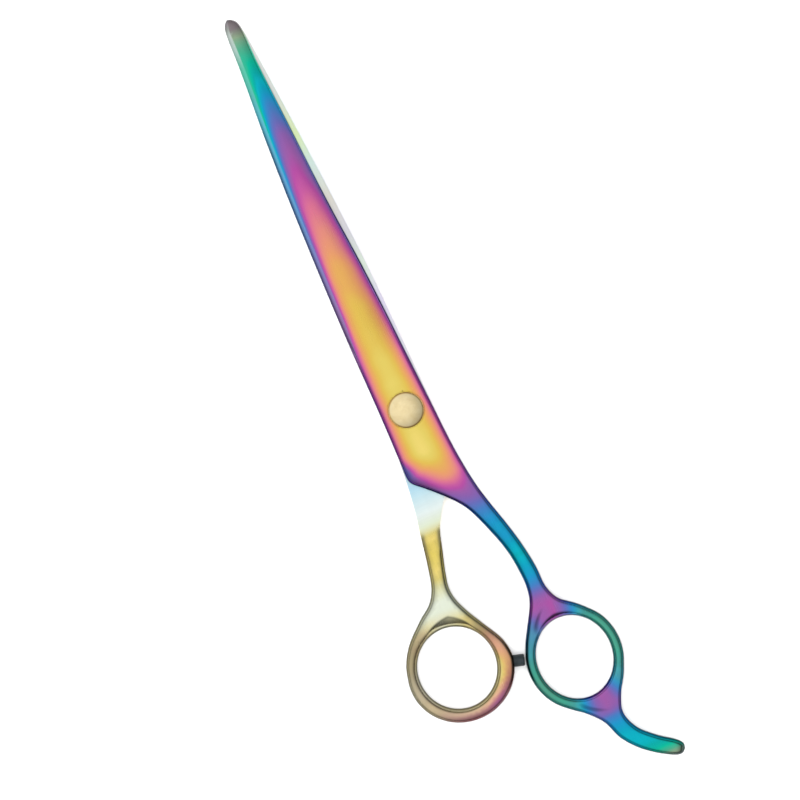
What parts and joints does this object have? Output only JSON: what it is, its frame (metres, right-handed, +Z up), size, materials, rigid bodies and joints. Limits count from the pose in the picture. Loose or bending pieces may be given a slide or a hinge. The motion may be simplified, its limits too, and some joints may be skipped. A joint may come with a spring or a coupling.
{
  "type": "thinning shears",
  "caption": "Hairdresser's thinning shears with a comb blade behind a long plain blade, offset ring handles, a finger rest and a rainbow coating.",
  "frame": {"origin": "on the pivot axis, at the flat end face of the pivot screw, in the plane that the closed shears lie on", "axes": "+X from the pivot towards the blade tips, +Y towards the thumb ring, +Z up along the pivot axis towards the screw's domed head"},
  "size_m": [0.2261, 0.06, 0.0081],
  "materials": {
    "rainbow_coated_steel": "satin-bright rainbow coating: gold, pink, purple, blue and green by turns",
    "rainbow_coated_steel_back": "satin-bright rainbow coating, mostly gold, with a bare ground inner face",
    "gold_steel": "bright pale gold",
    "plain_steel": "satin",
    "brass": "turned",
    "white_nylon": "matt",
    "black_rubber": "matt"
  },
  "bodies": {
    "comb_half": {"comb_blade": "rainbow_coated_steel_back", "pivot_screw": "gold_steel", "nut_washer": "plain_steel", "bumper": "black_rubber"},
    "straight_half": {"straight_blade": "rainbow_coated_steel", "pivot_bush": "brass", "head_washer": "white_nylon", "spring_washer": "plain_steel"},
    "tension_nut": {"lock_nut": "gold_steel", "nut_lock_ring": "white_nylon"}
  },
  "joints": [
    {"name": "blade_pivot", "type": "hinge", "parent": "comb_half", "child": "straight_half", "pos_m": [0, 0, 0.0036], "axis": [0, 0, 1], "range_deg": [0, 140]},
    {"name": "tension_nut_turn", "type": "hinge", "parent": "comb_half", "child": "tension_nut", "pos_m": [0, 0, 0.0006], "axis": [0, 0, -1], "range_deg": [-90, 90]}
  ]
}
